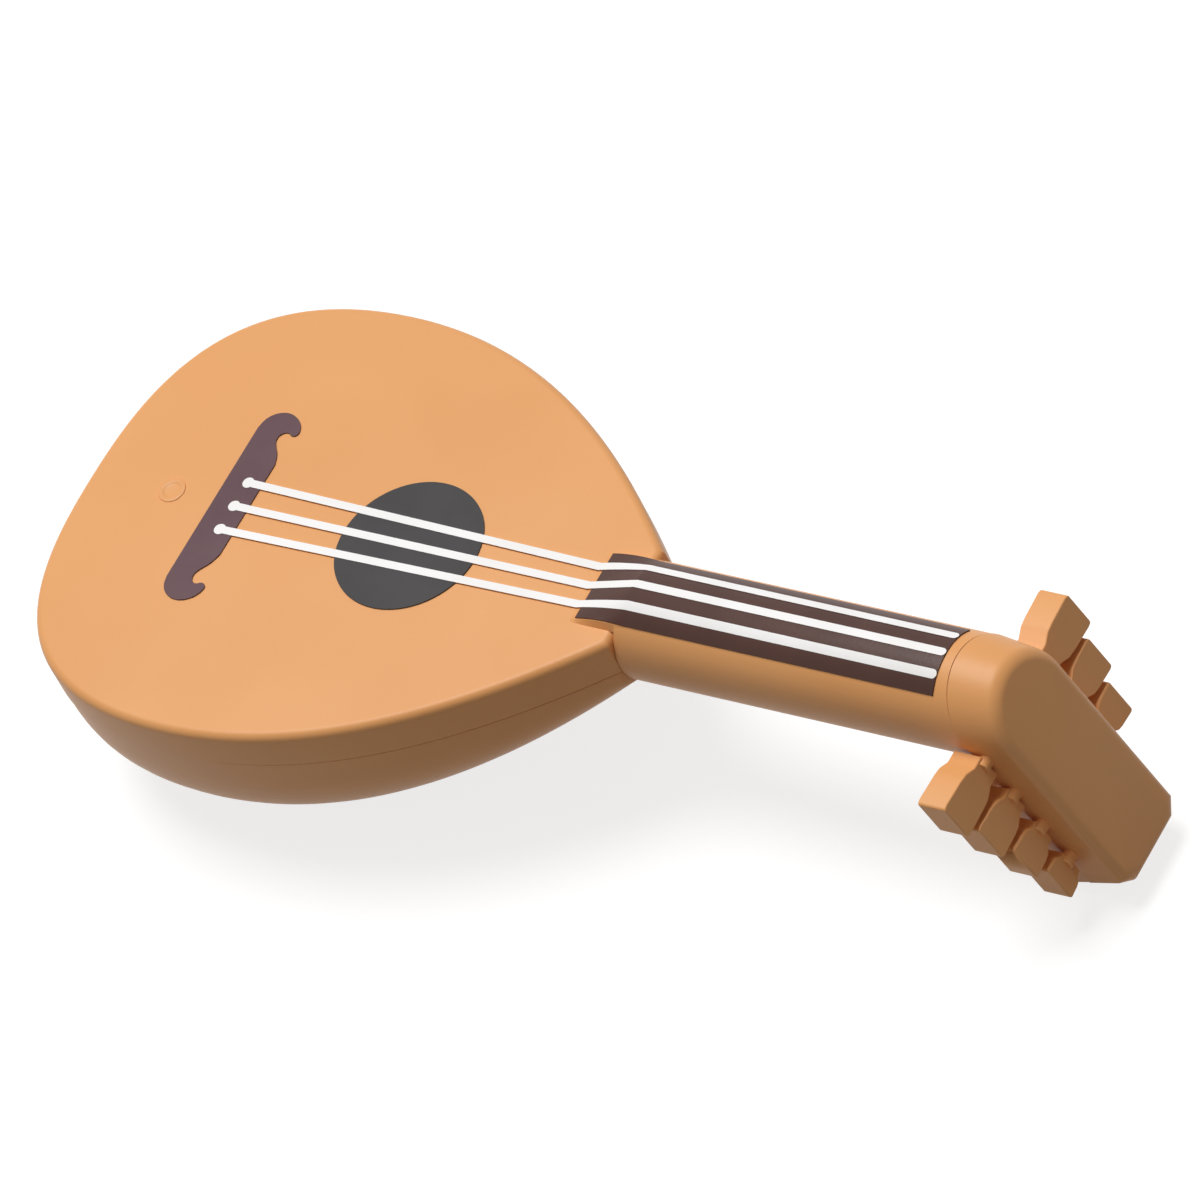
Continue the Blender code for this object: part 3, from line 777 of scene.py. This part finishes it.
# %% Sound hole and bridge
INK_GAP = 0.01
INK_THICKNESS = 0.03
HOLE_RADIUS = 2.11
HOLE_SIDES = 128
BRIDGE_HALF = [
    (-6.42, 2.55), (-6.36, 2.86), (-6.15, 3.11), (-5.80, 3.23), (-5.45, 3.14), (-5.20, 2.92),
    (-5.10, 2.62), (-5.27, 2.50), (-5.45, 2.62), (-5.64, 2.52), (-5.68, 2.30), (-5.56, 2.10),
    (-5.38, 1.88), (-5.27, 1.55),
]
CORNER_CUT = 0.25
CUTTING_PASSES = 3


def flat_print(name, outline, material):
    """A thin flat layer of ink on the soundboard."""
    rings = [[(x, y, z) for x, y in outline] for z in (INK_GAP, INK_GAP + INK_THICKNESS)]
    return make_piece(name + "_ink", [rings], material, name)


def part_way(a, b, share):
    """The point at some share of the way from a to b."""
    return ((1 - share) * a[0] + share * b[0], (1 - share) * a[1] + share * b[1])


def rounded(points, passes):
    """Cut the corners of an open line again and again, which rounds it."""
    for _ in range(passes):
        finer = [points[0]]
        for a, b in zip(points, points[1:]):
            finer += [part_way(a, b, CORNER_CUT), part_way(a, b, 1 - CORNER_CUT)]
        points = finer + [points[-1]]
    return points


flat_print("sound_hole_print", circle(HOLE_RADIUS, HOLE_SIDES), CHARCOAL)
scroll = rounded(BRIDGE_HALF, CUTTING_PASSES)
bridge_outline = [(x, -y) for x, y in scroll] + [(x, y) for x, y in reversed(scroll)]
flat_print("bridge_print", bridge_outline, PLUM)
print("bridge outline", len(bridge_outline), "points")

# %% [markdown]
# The fingerboard and the strings run over the ramp and round the bar. A Shrinkwrap modifier could
# press a flat strip on to them. The rule for the height of the playing surface does it without
# one: a layer's lower side is that surface with a small lift, and its upper side has a larger
# one.

# %% Fingerboard
FINGERBOARD_X = (5.95, 17.10)
FINGERBOARD_HALF_WIDTH = 1.08
FINGERBOARD_STEPS = 32


def draped(rows, lift, thickness, steps):
    """Rings of a thin layer that follows ramp and bar: rows are x, middle y and half width."""
    rings = []
    for x, middle, half_width in rows:
        across = spread(middle - half_width, middle + half_width, steps)
        lower = [(x, y, top_height(x, y, lift)) for y in across]
        upper = [(x, y, top_height(x, y, lift + thickness)) for y in reversed(across)]
        rings.append(lower + upper)
    return rings


ramp_places = spread(FINGERBOARD_X[0], RAMP_END_X, RAMP_STEPS)
fingerboard_rows = [(x, 0.0, FINGERBOARD_HALF_WIDTH) for x in ramp_places]
fingerboard_rows.append((FINGERBOARD_X[1], 0.0, FINGERBOARD_HALF_WIDTH))
fingerboard_rings = draped(fingerboard_rows, INK_GAP, INK_THICKNESS, FINGERBOARD_STEPS)
make_piece("fingerboard_ink", [fingerboard_rings], BROWN, "fingerboard_print")
print("fingerboard", round(FINGERBOARD_X[1] - FINGERBOARD_X[0], 2), "mm long")

# %% [markdown]
# Each string starts in a round dot on the bridge, closes in on its neighbours on its way to the
# neck, and ends round at the pegbox. It is one more draped layer, on top of the others. Its rows
# get as wide as the dot first, and then keep the string's own width.

# %% Strings
STRING_SIDES = (1, 0, -1)
STRING_LIFT = 0.044
STRING_THICKNESS = 0.012
STRING_WIDTH = 0.235
STRING_TAIL_X = -5.70
STRING_DOT_RADIUS = 0.17
STRING_TAIL_SPACING = 0.80
STRING_NECK_SPACING = 0.63
STRING_STEPS = 6
DOT_START_TURN = radians(170)
DOT_STEPS = 16
END_TURN = radians(80)
END_STEPS = 8


def string_rows(side):
    """Rows of one string: a round dot at the tail, a long taper over the board, then the neck."""
    rows = []
    half = STRING_WIDTH / 2
    join = atan2(half, sqrt(STRING_DOT_RADIUS ** 2 - half ** 2))
    for turn in spread(DOT_START_TURN, join, DOT_STEPS):
        x = STRING_TAIL_X + STRING_DOT_RADIUS * cos(turn)
        rows.append((x, side * STRING_TAIL_SPACING, STRING_DOT_RADIUS * sin(turn)))
    neck_y = side * STRING_NECK_SPACING
    rows += [(x, neck_y, half) for x in spread(RAMP_START_X, RAMP_END_X, RAMP_STEPS)]
    for turn in spread(0.0, END_TURN, END_STEPS):
        rows.append((FINGERBOARD_X[1] - half + half * sin(turn), neck_y, half * cos(turn)))
    return rows


for number, side in enumerate(STRING_SIDES, start=1):
    string_rings = draped(string_rows(side), STRING_LIFT, STRING_THICKNESS, STRING_STEPS)
    make_piece(f"string_{number}_ink", [string_rings], WHITE, f"string_print_{number}")
print("three strings", STRING_WIDTH, "mm wide")
